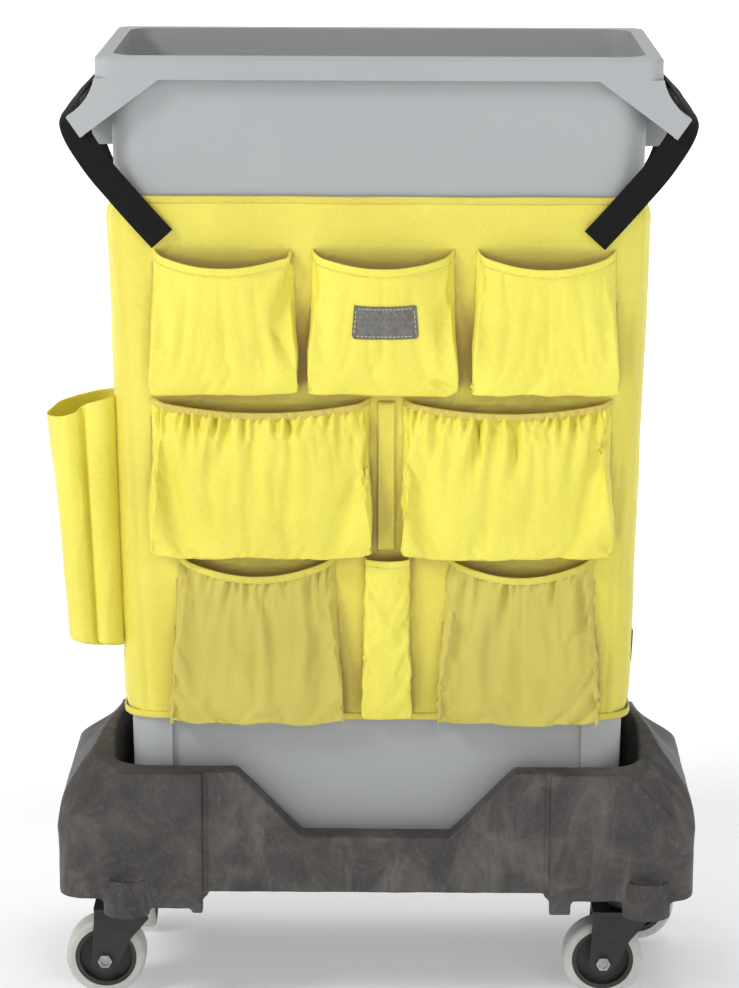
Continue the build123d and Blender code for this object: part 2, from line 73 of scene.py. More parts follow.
# ---------------------------------------------------------------- material helpers


def new_material(name):
    material = bpy.data.materials.new(name)
    material.use_nodes = True
    return material, material.node_tree, material.node_tree.nodes["Principled BSDF"]


def add(tree, kind, inputs=None, **settings):
    """A shader node with its settings, and its inputs set or linked by name or number."""
    made = tree.nodes.new("ShaderNode" + kind)
    for key, value in settings.items():
        setattr(made, key, value)
    for key, value in (inputs or {}).items():
        if isinstance(value, bpy.types.NodeSocket):
            tree.links.new(value, made.inputs[key])
        else:
            made.inputs[key].default_value = value
    return made


def link(tree, source, target):
    tree.links.new(source, target)


def place(tree, stretch=(1, 1, 1)):
    """Object coordinates in metres, stretched."""
    coordinates = add(tree, "TexCoord")
    return add(tree, "Mapping", {"Vector": coordinates.outputs["Object"], "Scale": stretch}).outputs["Vector"]


def grain(tree, where, scale, detail=3, roughness=0.5, distortion=0.0):
    return add(tree, "TexNoise", {"Vector": where, "Scale": scale, "Detail": detail, "Roughness": roughness,
                                  "Distortion": distortion}).outputs["Fac"]


def ramp(tree, factor, *stops):
    made = add(tree, "ValToRGB", {"Fac": factor})
    points = made.color_ramp.elements
    while len(points) < len(stops):
        points.new(0.5)
    for point, (position, colour) in zip(points, stops):
        point.position = position
        point.color = (*colour, 1) if len(colour) == 3 else colour
    return made.outputs["Color"]


def blend_colour(tree, factor, first, second, mode="MIX"):
    made = add(tree, "Mix", {"Factor": factor}, data_type="RGBA", blend_type=mode)
    for socket, value in ((made.inputs[6], first), (made.inputs[7], second)):
        if isinstance(value, bpy.types.NodeSocket):
            link(tree, value, socket)
        else:
            socket.default_value = (*value, 1)
    return made.outputs[2]


def calc(tree, operation, first, second=0.0, third=0.0):
    return add(tree, "Math", {0: first, 1: second, 2: third}, operation=operation).outputs[0]


def span(tree, value, low, high):
    """A 0 to 1 value spread between two numbers."""
    return add(tree, "MapRange", {"Value": value, "To Min": low, "To Max": high}).outputs["Result"]


def bump(tree, height, distance, strength=1.0, under=None):
    inputs = {"Height": height, "Distance": distance, "Strength": strength}
    if under is not None:
        inputs["Normal"] = under
    return add(tree, "Bump", inputs).outputs["Normal"]


def weave(tree, pitch):
    """A plain weave on upright walls: sine threads up and across."""
    coordinates = add(tree, "TexCoord")
    split = add(tree, "SeparateXYZ", {"Vector": coordinates.outputs["Object"]})
    across = calc(tree, "ADD", split.outputs["X"], split.outputs["Y"])
    turn = 2 * math.pi / pitch
    warp = calc(tree, "SINE", calc(tree, "MULTIPLY", across, turn))
    weft = calc(tree, "SINE", calc(tree, "MULTIPLY", split.outputs["Z"], turn))
    return calc(tree, "MULTIPLY", warp, weft)


# ---------------------------------------------------------------- materials


def cloth_material(name, light, dark, gloss=0.46):
    """Coated woven polyester: fine weave, soft creases, slight colour drift, a thin coat, and painted shade
    where the cloth lies in a recess.
    """
    material, tree, shader = new_material(name)
    where = place(tree)
    drift = grain(tree, where, 9, 4, 0.55)
    fine = grain(tree, where, 420, 2, 0.6)
    colour = blend_colour(tree, ramp(tree, drift, (0.32, (0, 0, 0)), (0.70, (1, 1, 1))), dark, light)
    flecks = ramp(tree, fine, (0.3, (0.35, 0.30, 0.04)), (0.7, (1, 0.95, 0.40)))
    colour = blend_colour(tree, 0.16, colour, flecks, "OVERLAY")
    # painted shade: a stored share at each point darkens the cloth towards brown-olive where it lies in a
    # recess between the pockets, standing in for the shade there
    painted_shade = add(tree, "Attribute", attribute_name="painted_shade").outputs["Fac"]
    colour = blend_colour(tree, painted_shade, colour, (0.36, 0.245, 0.075))
    link(tree, colour, shader.inputs["Base Color"])
    link(tree, span(tree, grain(tree, where, 60, 3), gloss - 0.08, gloss + 0.12), shader.inputs["Roughness"])
    shader.inputs["Coat Weight"].default_value = 0.10
    shader.inputs["Coat Roughness"].default_value = 0.32
    shader.inputs["Sheen Weight"].default_value = 0.12
    shader.inputs["Sheen Roughness"].default_value = 0.4
    shader.inputs["Specular IOR Level"].default_value = 0.42
    creases = grain(tree, where, 34, 5, 0.62, 0.6)
    rough = bump(tree, creases, 1.8 * MM, 0.55)
    threads = bump(tree, weave(tree, 1.1 * MM), 0.10 * MM, 0.7, rough)
    link(tree, bump(tree, fine, 0.12 * MM, 0.5, threads), shader.inputs["Normal"])
    return material


def mesh_material():
    """Knitted mesh over the bag's cloth: round holes in rows, with painted shade in the holes for the shaded
    cloth seen through them.
    """
    material, tree, shader = new_material("bag_mesh_knit")
    coordinates = add(tree, "TexCoord")
    split = add(tree, "SeparateXYZ", {"Vector": coordinates.outputs["Object"]})
    pitch = 1.9 * MM
    turn = 2 * math.pi / pitch
    diagonal_a = calc(tree, "ADD", split.outputs["X"], split.outputs["Z"])
    diagonal_b = calc(tree, "SUBTRACT", split.outputs["X"], split.outputs["Z"])
    wave_a = calc(tree, "SINE", calc(tree, "MULTIPLY", diagonal_a, turn))
    wave_b = calc(tree, "SINE", calc(tree, "MULTIPLY", diagonal_b, turn))
    holes = calc(tree, "MULTIPLY", wave_a, wave_b)
    where = place(tree)
    drift = grain(tree, where, 12, 4, 0.6)
    thread = ramp(tree, drift, (0.3, (0.74, 0.63, 0.115)), (0.72, (0.84, 0.74, 0.15)))
    # the holes are the knit's own pattern; their darker colour is painted shade, for the cloth behind seen
    # through them
    colour = blend_colour(tree, ramp(tree, holes, (0.05, (0, 0, 0)), (0.42, (1, 1, 1))), thread,
                          (0.56, 0.46, 0.085))
    link(tree, colour, shader.inputs["Base Color"])
    link(tree, span(tree, grain(tree, where, 90, 2), 0.55, 0.8), shader.inputs["Roughness"])
    shader.inputs["Sheen Weight"].default_value = 0.15
    creases = bump(tree, grain(tree, where, 30, 4, 0.6, 0.5), 1.6 * MM, 0.5)
    inverse = calc(tree, "MULTIPLY", holes, -1.0)
    link(tree, bump(tree, inverse, 0.35 * MM, 0.8, creases), shader.inputs["Normal"])
    return material


def bin_material():
    """Grey moulded polyethylene: faint cloudiness, fine texture, soft scuffs."""
    material, tree, shader = new_material("bin_grey_plastic")
    where = place(tree)
    cloud = grain(tree, where, 3.2, 4, 0.5)
    colour = ramp(tree, cloud, (0.25, (0.335, 0.345, 0.352)), (0.75, (0.385, 0.395, 0.40)))
    upright = grain(tree, place(tree, (60, 60, 6)), 1.6, 6, 0.7)
    scuffs = ramp(tree, upright, (0.60, (0, 0, 0)), (0.80, (1, 1, 1)))
    colour = blend_colour(tree, calc(tree, "MULTIPLY", scuffs, 0.14), colour, (0.47, 0.475, 0.47))
    link(tree, colour, shader.inputs["Base Color"])
    link(tree, span(tree, grain(tree, where, 26, 4), 0.36, 0.54), shader.inputs["Roughness"])
    fine = bump(tree, grain(tree, where, 900, 2), 0.06 * MM, 0.5)
    link(tree, bump(tree, grain(tree, where, 18, 3), 0.5 * MM, 0.25, fine), shader.inputs["Normal"])
    return material


def resin_material():
    """Dark mottled moulded resin with light flow marks."""
    material, tree, shader = new_material("dolly_mottled_resin")
    where = place(tree)
    mottle = grain(tree, where, 24, 8, 0.66, 0.8)
    flow = grain(tree, place(tree, (9, 9, 3.2)), 1.6, 7, 0.68, 1.8)
    base = ramp(tree, mottle, (0.30, (0.026, 0.023, 0.0215)), (0.52, (0.048, 0.0425, 0.0395)),
                (0.74, (0.105, 0.094, 0.087)))
    streaks = ramp(tree, flow, (0.50, (0, 0, 0)), (0.78, (1, 1, 1)))
    colour = blend_colour(tree, calc(tree, "MULTIPLY", streaks, 0.55), base, (0.200, 0.184, 0.170))
    specks = ramp(tree, grain(tree, where, 260, 3, 0.7), (0.56, (0, 0, 0)), (0.72, (1, 1, 1)))
    colour = blend_colour(tree, calc(tree, "MULTIPLY", specks, 0.22), colour, (0.22, 0.205, 0.19))
    link(tree, colour, shader.inputs["Base Color"])
    link(tree, span(tree, mottle, 0.42, 0.66), shader.inputs["Roughness"])
    pits = bump(tree, grain(tree, where, 150, 4, 0.6), 0.35 * MM, 0.55)
    link(tree, bump(tree, grain(tree, where, 14, 4, 0.55), 2.2 * MM, 0.30, pits), shader.inputs["Normal"])
    return material


def webbing_material():
    """Black polypropylene webbing: chevron ribs along the strap, a little fuzzy."""
    material, tree, shader = new_material("strap_webbing")
    coordinates = add(tree, "TexCoord")
    split = add(tree, "SeparateXYZ", {"Vector": coordinates.outputs["UV"]})
    slant = calc(tree, "PINGPONG", split.outputs["X"], 3.2 * MM)
    run = calc(tree, "ADD", split.outputs["Y"], slant)
    ribs = calc(tree, "SINE", calc(tree, "MULTIPLY", run, 2 * math.pi / (1.7 * MM)))
    where = place(tree)
    fuzz = grain(tree, where, 700, 3, 0.7)
    colour = blend_colour(tree, fuzz, (0.0035, 0.0034, 0.0033), (0.010, 0.0095, 0.009))
    link(tree, colour, shader.inputs["Base Color"])
    link(tree, span(tree, fuzz, 0.50, 0.78), shader.inputs["Roughness"])
    shader.inputs["Specular IOR Level"].default_value = 0.18
    first = bump(tree, ribs, 0.30 * MM, 0.8)
    link(tree, bump(tree, fuzz, 0.15 * MM, 0.6, first), shader.inputs["Normal"])
    return material


def hard_material(name, dark, light, low, high, scale=40, metal=0.0, depth=0.12):
    """Painted steel, plated steel, moulded core or rubber: a drifting colour, worn gloss, fine grain."""
    material, tree, shader = new_material(name)
    where = place(tree)
    drift = grain(tree, where, scale, 5, 0.6)
    colour = ramp(tree, drift, (0.30, dark), (0.72, light))
    link(tree, colour, shader.inputs["Base Color"])
    link(tree, span(tree, grain(tree, where, scale * 4, 4, 0.65), low, high), shader.inputs["Roughness"])
    shader.inputs["Metallic"].default_value = metal
    link(tree, bump(tree, grain(tree, where, 600, 3), depth * MM, 0.5), shader.inputs["Normal"])
    return material


bag_cloth = cloth_material("bag_coated_cloth", (0.86, 0.78, 0.115), (0.76, 0.665, 0.085))
binding_cloth = cloth_material("bag_binding_tape", (0.74, 0.64, 0.11), (0.62, 0.52, 0.08), 0.6)
elastic_cloth = cloth_material("bag_elastic_casing", (0.66, 0.53, 0.115), (0.54, 0.42, 0.085), 0.6)
mesh_cloth = mesh_material()
webbing = webbing_material()
patch_cloth = hard_material("patch_woven", (0.10, 0.095, 0.085), (0.20, 0.19, 0.17), 0.6, 0.85, 300, 0.0, 0.2)
thread = hard_material("stitch_thread", (0.66, 0.58, 0.16), (0.86, 0.78, 0.28), 0.5, 0.7, 200)
FINISHES = {
    "bin_plastic": bin_material(),
    "dolly_resin": resin_material(),
    "caster_steel": hard_material("caster_black_paint", (0.012, 0.011, 0.010), (0.030, 0.028, 0.026),
                                  0.35, 0.6),
    "fastener": hard_material("fastener_zinc", (0.30, 0.30, 0.29), (0.52, 0.52, 0.50), 0.28, 0.5, 120, 1.0),
    "wheel_core": hard_material("wheel_core_moulded", (0.022, 0.020, 0.019), (0.048, 0.045, 0.042),
                                0.4, 0.62),
    "tread": hard_material("tread_rubber", (0.50, 0.50, 0.46), (0.64, 0.64, 0.60), 0.48, 0.68, 30, 0.0, 0.2),
}
slots = {row["node"]: row["material_slot"] for row in frame["record"]["subparts"]}
for name, obj in nodes.items():
    finish = FINISHES.get(slots[name])
    if finish is not None:
        obj.data.materials.clear()
        obj.data.materials.append(finish)

# ---------------------------------------------------------------- mesh helpers


def mesh_object(name, vertices, faces, material):
    mesh = bpy.data.meshes.new(name)
    mesh.from_pydata([tuple(v) for v in vertices], [], faces)
    mesh.materials.append(material)
    made = bpy.data.objects.new(name, mesh)
    scene.collection.objects.link(made)
    mesh.polygons.foreach_set("use_smooth", [True] * len(mesh.polygons))
    mesh.update()
    return made


def grid_object(name, rows, material, closed=False):
    """A sheet from rows of points, each row as long as the next; closed joins each row's ends."""
    rows = np.asarray(rows, float)
    count_v, count_u = rows.shape[:2]
    faces = []
    last = count_u if closed else count_u - 1
    for j in range(count_v - 1):
        for i in range(last):
            k = (i + 1) % count_u
            faces.append((j * count_u + i, j * count_u + k, (j + 1) * count_u + k, (j + 1) * count_u + i))
    return mesh_object(name, rows.reshape(-1, 3), faces, material)


def settle(obj):
    """Replace the object's mesh by its evaluated one, and drop its modifiers."""
    graph = bpy.context.evaluated_depsgraph_get()
    baked = bpy.data.meshes.new_from_object(obj.evaluated_get(graph), depsgraph=graph)
    obj.modifiers.clear()
    obj.data = baked
    baked.polygons.foreach_set("use_smooth", [True] * len(baked.polygons))
    return obj


def thicken(obj, thickness, inward=True):
    """Give a sheet its thickness, inward or outward from its face."""
    solid = obj.modifiers.new("thickness", "SOLIDIFY")
    solid.thickness = thickness
    solid.offset = -1 if inward else 1
    solid.use_even_offset = False
    return settle(obj)


def close_ends(obj):
    """Fill the open ends of a tube."""
    mesh = bmesh.new()
    mesh.from_mesh(obj.data)
    bmesh.ops.holes_fill(mesh, edges=[e for e in mesh.edges if e.is_boundary])
    mesh.to_mesh(obj.data)
    mesh.free()


def wave_noise(x, y, z, size, seed=0.0):
    """Smooth noise about zero whose waves are as long as the size."""
    return noise.noise(Vector((x / size + seed, y / size - 2 * seed, z / size + 0.7 * seed)))


def ridge(x, y, z, size, seed=0.0):
    """Sharp creases: high along thin lines, low between them."""
    return 1 - min(1, abs(wave_noise(x, y, z, size, seed)) * 3.2)


def smoothstep(low, high, value):
    t = min(1, max(0, (value - low) / (high - low)))
    return t * t * (3 - 2 * t)


# ---------------------------------------------------------------- bag sleeve


def round_walk(half_x, half_y, radius, count):
    """Points and outward directions, evenly spaced round a rounded rectangle, from the front middle."""
    straight_x = 2 * (half_x - radius)
    straight_y = 2 * (half_y - radius)
    arc = math.pi / 2 * radius
    total = 2 * (straight_x + straight_y) + 4 * arc
    points = []
    for i in range(count):
        s = (i / count * total + straight_x / 2) % total
        x, y = -straight_x / 2, -half_y
        angle = -math.pi / 2
        for length in (straight_x, straight_y, straight_x, straight_y):
            along = (-math.sin(angle), math.cos(angle))
            if s <= length:
                points.append((x + along[0] * s, y + along[1] * s, math.cos(angle), math.sin(angle)))
                break
            s -= length
            x, y = x + along[0] * length, y + along[1] * length
            centre = (x - math.cos(angle) * radius, y - math.sin(angle) * radius)
            if s <= arc:
                turned = angle + s / radius
                points.append((centre[0] + math.cos(turned) * radius, centre[1] + math.sin(turned) * radius,
                               math.cos(turned), math.sin(turned)))
                break
            s -= arc
            angle += math.pi / 2
            x, y = centre[0] + math.cos(angle) * radius, centre[1] + math.sin(angle) * radius
    return points


def sleeve_rise(x, y, z, side):
    """How far the sleeve's cloth stands off its wall: slack, soft folds and creases."""
    t = (z - BAG_LOW) / (BAG_HIGH - BAG_LOW)
    ends = smoothstep(0, 0.045, t) * smoothstep(0, 0.045, 1 - t)
    slack = (1.0 + 3.6 * smoothstep(0.35, 0.85, abs(side)) * (0.6 + 0.4 * t)) * MM
    slack += 1.5 * MM * wave_noise(x, y, z * 0.40, 0.10, 3.1)
    slack += 0.7 * MM * wave_noise(x, y, z * 0.8, 0.035, 5.3)
    creased = smoothstep(0.2, 0.7, wave_noise(x, y, z, 0.22, 1.3) + 0.5)
    folds = 1.0 * MM * ridge(x, y, z * 0.30, 0.085, 7.7) * creased
    return max(0, slack + folds) * ends


def seam_x(z):
    """Where the corded seam down each side of the front runs: closer together at the bottom."""
    return bag_half(z)[0] - (7 + 9 * (BAG_HIGH - z) / (BAG_HIGH - BAG_LOW)) * MM


ROUND = 440                     # points round the sleeve
HEIGHTS = 170                   # steps up it
BINDING_ROUND = 620             # points round a binding
TUCK = 3 * MM                   # how far the sleeve's edges lie inside the bindings
CORD = 1.6 * MM                 # height and half width of the corded seams
rows = []
for j in range(HEIGHTS + 1):
    z = BAG_LOW + TUCK + (BAG_HIGH - BAG_LOW - 2 * TUCK) * j / HEIGHTS
    hx, hy = bag_half(z)
    row = []
    for x, y, nx, ny in round_walk(hx, hy, CORNER, ROUND):
        rise = sleeve_rise(x, y, z, nx)
        if y < 0:
            off = abs(x) - seam_x(z)
            rise += CORD * math.exp(-((off / CORD) ** 2))
            rise -= 0.9 * MM * math.exp(-(((off + 4 * MM) / (2.4 * MM)) ** 2))
        row.append((x + nx * rise, y + ny * rise, z))
    rows.append(row)
sleeve = thicken(grid_object("bag_sleeve", rows, bag_cloth, closed=True), 1.4 * MM)
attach(sleeve, "bin")
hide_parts("bag_front_panel", "bag_back_panel", "bag_left_panel", "bag_right_panel")

# a tape's section: shares of its thickness outward and of its height upward
TAPE = [(0.0, -0.5), (0.7, -0.47), (1.0, -0.36), (1.06, 0.0), (1.0, 0.36), (0.7, 0.47), (0.0, 0.5),
        (-0.4, 0.42), (-0.4, -0.42)]


def tape(name, line, outs, height, thickness, material, lumps=0.0, seed=0.0, closed=False):
    """A folded edge tape along a line of points, with the outward direction at each."""
    rows = []
    for point, out in zip(line, outs):
        swell = 1 + lumps * wave_noise(point[0], point[1], point[2], 5 * MM, seed)
        rows.append([Vector(point) + Vector(out) * (a * thickness * swell) + Vector((0, 0, b * height))
                     for a, b in TAPE])
    if closed:
        rows.append(rows[0])
    made = grid_object(name, rows, material, closed=True)
    if not closed:
        close_ends(made)
    return made


for name, z in (("bag_top_binding", (high_band[0].z + high_band[1].z) / 2),
                ("bag_bottom_binding", (low_band[0].z + low_band[1].z) / 2)):
    hx, hy = bag_half(z)
    line, outs = [], []
    for x, y, nx, ny in round_walk(hx, hy, CORNER, BINDING_ROUND):
        off = (0.4 + 2.6 * smoothstep(0.35, 0.85, abs(nx)) + 0.7 * wave_noise(x, y, z, 0.05, 9.0)) * MM
        line.append((x + nx * off, y + ny * off, z + 0.9 * MM * wave_noise(x, y, 0, 0.07, 4.4)))
        outs.append((nx, ny, 0))
    piece = tape(name + "_tape", line, outs, 6.6 * MM, 1.2 * MM, binding_cloth, 0.35, 2.0, closed=True)
    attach(piece, "bin")
    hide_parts(name)

# ---------------------------------------------------------------- sewing
stitch_points = []
stitch_faces = []


def stitch(line, outs, length=2.6 * MM, gap=1.3 * MM, radius=0.36 * MM):
    """A row of thread stitches along a line, each a small spindle lying on the cloth."""
    line = [Vector(p) for p in line]
    run = 0.0
    start = None
    for first, second, out in zip(line, line[1:], outs):
        run += (second - first).length
        if start is None and run >= gap:
            start, run = first, 0.0
        elif start is not None and run >= length:
            spindle(start, second, Vector(out).normalized(), radius)
            start, run = None, 0.0


def spindle(first, second, out, radius):
    along = (second - first).normalized()
    across = along.cross(out).normalized()
    base = len(stitch_points)
    stitch_points.append(first - out * radius * 0.6)
    for share in (0.22, 0.78):
        middle = first.lerp(second, share) + out * radius * 0.5
        for k in range(6):
            turn = math.pi / 3 * k
            stitch_points.append(middle + (across * math.cos(turn) + out * math.sin(turn)) * radius)
    stitch_points.append(second - out * radius * 0.6)
    for k in range(6):
        n = (k + 1) % 6
        stitch_faces.append((base, base + 1 + n, base + 1 + k))
        stitch_faces.append((base + 1 + k, base + 1 + n, base + 7 + n, base + 7 + k))
        stitch_faces.append((base + 7 + k, base + 7 + n, base + 13))


# ---------------------------------------------------------------- pockets
def finer(points, rows, columns):
    """A grid of points resampled to another size along smooth curves."""

    def along(values, count):
        old = len(values)
        where = np.linspace(0, old - 1, count)
        first = np.clip(where.astype(int), 0, old - 2)
        t = (where - first)[:, None, None]
        before = values[np.clip(first - 1, 0, old - 1)]
        here = values[first]
        after = values[first + 1]
        beyond = values[np.clip(first + 2, 0, old - 1)]
        return 0.5 * (2 * here + (after - before) * t + (2 * before - 5 * here + 4 * after - beyond) * t ** 2
                      + (3 * here - before - 3 * after + beyond) * t ** 3)

    points = along(points, rows)
    return np.swapaxes(along(np.swapaxes(points, 0, 1), columns), 0, 1)


def normals(grid):
    across = np.gradient(grid, axis=1)
    upward = np.gradient(grid, axis=0)
    out = np.cross(across, upward)
    return out / np.maximum(1e-9, np.linalg.norm(out, axis=2))[:, :, None]


COARSE_ROWS = 30                # rows of the sheet before it is made finer
SIM_FRAMES = 20
FINE_ACROSS = 1.25 * MM         # spacing of the finished cloth's points
FINE_UP = 1.7 * MM


class Pocket:
    """An open-topped pocket on the front wall. u runs from -1 to 1 across, v from 0 at the seam below to 1.

    In millimetres: droop is how far the mouth dips, depths how far the front stands out low down, halfway and
    at the mouth, sag how far the bottom hangs, hem how far below the mouth its stitches run, rounding how far
    the bottom corners rise and nub how far they hang. dip shapes the mouth's curve. top and flare are shares
    of the width at the mouth and below. lift raises the mouth. boxy says how far the mouth's curve flattens the
    gussets, turn_in and peak where the front turns in and is deepest. slack and pressure puff the simulated
    cloth. A fold is (from u, from v, to u, to v, depth, width).
    """

    def __init__(self, node, droop, depths, sag=5.0, top=0.95, gathers=0, folds=(), seed=1, material=None,
                 held="hung", lift=0.0, hem=0.0, boxy=1.0, turn_in=0.5, peak=1.1, flare=1.0,
                 rounding=8.0, nub=0.0, slack=0.02, pressure=1.4,
                 dip=0.85):
        low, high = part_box(node)
        self.node, self.seed, self.held = node, seed, held
        self.x0, self.x1, self.z0, self.z1 = low.x, high.x, low.z, high.z + lift
        self.droop, self.depths, self.sag, self.top, self.hem = droop * MM, depths, sag * MM, top, hem
        self.folds = list(folds)
        self.material = material or bag_cloth
        self.boxy, self.turn_in, self.peak, self.flare = boxy, turn_in, peak, flare
        self.random = np.random.default_rng(seed)
        self.gathers, self.rounding, self.nub = gathers, rounding, nub
        self.slack, self.pressure, self.dip = slack, pressure, dip
        self.half = (self.x1 - self.x0) / 2
        self.height = self.z1 - self.z0
        self.coarse = (COARSE_ROWS, max(16, int(self.half * 2 / (3.6 * MM))))

    def shape(self, rows, columns):
        grid = np.zeros((rows + 1, columns + 1, 3))
        middle = (self.x0 + self.x1) / 2
        low_depth, mid_depth, high_depth = (d * MM for d in self.depths)
        bend = 0.13
        for j in range(rows + 1):
            v = j / rows
            for i in range(columns + 1):
                u = 2 * i / columns - 1
                side = abs(u)
                rise = smoothstep(0.25, 1, v)
                # across: a flat front with gussets low down, a shallow curve at the mouth
                turn = max(0, (side - 0.80) / 0.20)
                boxed = math.cos(math.pi / 2 * turn) ** 0.75 if turn < 1 else 0.0
                curved = (1 - side ** 2.2) ** 0.85
                section = boxed + (curved - boxed) * rise * self.boxy
                reach_box = (u / 0.80 * 1.0) if side < 0.80 else math.copysign(1.0 - 0.02 * turn ** 1.5, u)
                width = self.flare + (self.top - self.flare) * smoothstep(0.1, 1, v)
                x = middle + self.half * width * (reach_box + (u - reach_box) * rise * 0.75 * self.boxy)
                # upward: out from the seam, round the sagging bottom and up the front
                if v < bend:
                    q = v / bend
                    depth = low_depth * math.sin(math.pi / 2 * q) ** 1.1
                    hang = math.sin(math.pi * (0.12 + 0.62 * q)) * (1 - side ** 8) * q ** 0.4
                    z = self.z0 - self.sag * hang
                else:
                    q = (v - bend) / (1 - bend)
                    depth = low_depth + (mid_depth - low_depth) * math.sin(math.pi * min(1, q * self.peak))
                    if q > self.turn_in:
                        depth += (high_depth - low_depth) * smoothstep(self.turn_in, 1, q)
                    bottom = self.z0 - self.sag * math.sin(math.pi * 0.74) * (1 - side ** 8)
                    crest = self.z1 - self.droop * max(0, math.cos(math.pi / 2 * u)) ** self.dip
                    z = bottom + (crest - bottom) * q ** 1.04
                low_down = 1 - smoothstep(0.05, 0.30, v)
                z += 2.2 * MM * wave_noise(x, 0, self.z0, 0.03, self.seed) * low_down
                z += self.rounding * MM * smoothstep(0.70, 1.0, side) ** 1.5 * low_down
                z -= self.nub * MM * math.exp(-(((side - 0.88) / 0.07) ** 2)) * low_down
                x -= (x - middle) * 0.055 * self.rounding / 8 * (1 - smoothstep(0.0, 0.16, v)) * side ** 3
                y = -bag_half(z)[1] - 0.5 * MM - max(0, depth) * section
                grid[j, i] = (x, y, z)
        return grid

    def simulate(self):
        """The sheet that Cloth puffs out, held at its sewn edges and loosely at its mouth."""
        rows, columns = self.coarse
        self.sheet = grid_object(self.node + "_sim", self.shape(rows, columns), self.material)
        group = self.sheet.vertex_groups.new(name="held")
        for j in range(rows + 1):
            for i in range(columns + 1):
                if j < 1 or i < 1 or i > columns - 1:
                    group.add([j * (columns + 1) + i], 1.0, "REPLACE")
                elif j > rows - 2:
                    group.add([j * (columns + 1) + i], 0.85, "REPLACE")
                elif j > rows - 5:
                    group.add([j * (columns + 1) + i], 0.25, "REPLACE")
        setup = self.sheet.modifiers.new("cloth", "CLOTH").settings
        setup.quality = 5
        setup.mass = 0.2
        setup.tension_stiffness = 14
        setup.compression_stiffness = 12
        setup.shear_stiffness = 6
        setup.bending_stiffness = 0.4
        setup.vertex_group_mass = "held"
        setup.shrink_min = -self.slack
        setup.use_pressure = True
        setup.uniform_pressure_force = self.pressure
        setup.effector_weights.gravity = 0.3

    def simulated(self):
        graph = bpy.context.evaluated_depsgraph_get()
        mesh = self.sheet.evaluated_get(graph).to_mesh()
        points = np.empty(len(mesh.vertices) * 3)
        mesh.vertices.foreach_get("co", points)
        rows, columns = self.coarse
        return points.reshape(rows + 1, columns + 1, 3)

    def crease(self, grid):
        """Push the cloth in and out along its folds and, below a gathered mouth, along its gathers."""
        rows, columns = grid.shape[0] - 1, grid.shape[1] - 1
        u = np.linspace(-1, 1, columns + 1)[None, :] * self.half
        v = np.linspace(0, 1, rows + 1)[:, None] * self.height
        push = np.zeros((rows + 1, columns + 1))
        folds = [(a * self.half, b * self.height, c * self.half, d * self.height, amp * MM, width * MM)
                 for a, b, c, d, amp, width in self.folds]
        chance = self.random
        for k in range(self.gathers):
            at = -0.97 + 1.94 * (k + 0.5 + 0.5 * chance.uniform(-1, 1)) / self.gathers
            long = chance.uniform(5, 15) if chance.uniform() < 0.72 else chance.uniform(18, 46)
            folds.append((at * self.half, self.height * 1.0, (at + chance.uniform(-0.05, 0.05)) * self.half,
                          self.height - long * MM, -(3.8 + long / 12) * chance.uniform(0.4, 1.3) * MM,
                          (1.3 + long / 16) * MM))
        for a, b, c, d, amp, width in folds:
            length = math.hypot(c - a, d - b)
            along = ((c - a) / length, (d - b) / length)
            t = ((u - a) * along[0] + (v - b) * along[1]) / length
            across = (u - a) * along[1] - (v - b) * along[0]
            inside = np.clip(t, 0, 1)
            wide = width * (0.55 + 0.9 * inside)
            fade = np.where(t > 1, np.exp(-((t - 1) * length / (2.2 * wide)) ** 2), 1) * (1 - 0.75 * inside)
            fade = np.where(t < 0, np.exp(-(t * length / (2 * wide)) ** 2), fade)
            lean = 1 + 0.5 * np.tanh(across / wide)
            push += amp * fade * lean * np.exp(-(across / wide) ** 2)
            push -= 0.45 * amp * fade * np.exp(-((across - 1.9 * wide) / wide) ** 2)
        soft = np.array([[1.5 * wave_noise(x, y, z * 0.7, 0.035, self.seed)
                          + 0.9 * ridge(x, y, z * 0.8, 0.05, self.seed + 3) for x, y, z in row]
                         for row in grid])
        push += soft * MM
        edge = np.minimum(1, (1 - np.abs(u) / self.half) / 0.05) * np.minimum(1, v / self.height / 0.08)
        if self.gathers:
            edge = edge * (1 - 0.8 * np.exp(-(((self.height - v) / (3.4 * MM)) ** 2)))
        push *= edge
        if self.hem:
            below = (self.height - v) - self.hem * MM
            push += -0.9 * MM * np.exp(-((below / (0.9 * MM)) ** 2)) * edge
            push += 0.5 * MM * (below < 0) * edge
        return grid + normals(grid) * push[:, :, None]

    def finish(self, coarse):
        columns = int(2 * self.half / FINE_ACROSS)
        rows = int(self.height / FINE_UP)
        grid = self.crease(finer(coarse, rows + 1, columns + 1))
        for j in range(rows + 1):
            for i in range(columns + 1):
                limit = -bag_half(grid[j, i, 2])[1] - 0.4 * MM
                if grid[j, i, 1] > limit:
                    grid[j, i, 1] = limit
        self.grid = grid
        self.out = normals(grid)
        self.obj = thicken(grid_object(self.node + "_cloth", grid, self.material), 1.1 * MM)
        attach(self.obj, "bin")
        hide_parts(self.node)
        if self.hem:
            j = rows - int(self.hem * MM / FINE_UP)
            stitch(grid[j, 2:-2] + self.out[j, 2:-2] * 0.3 * MM, self.out[j, 2:-2])


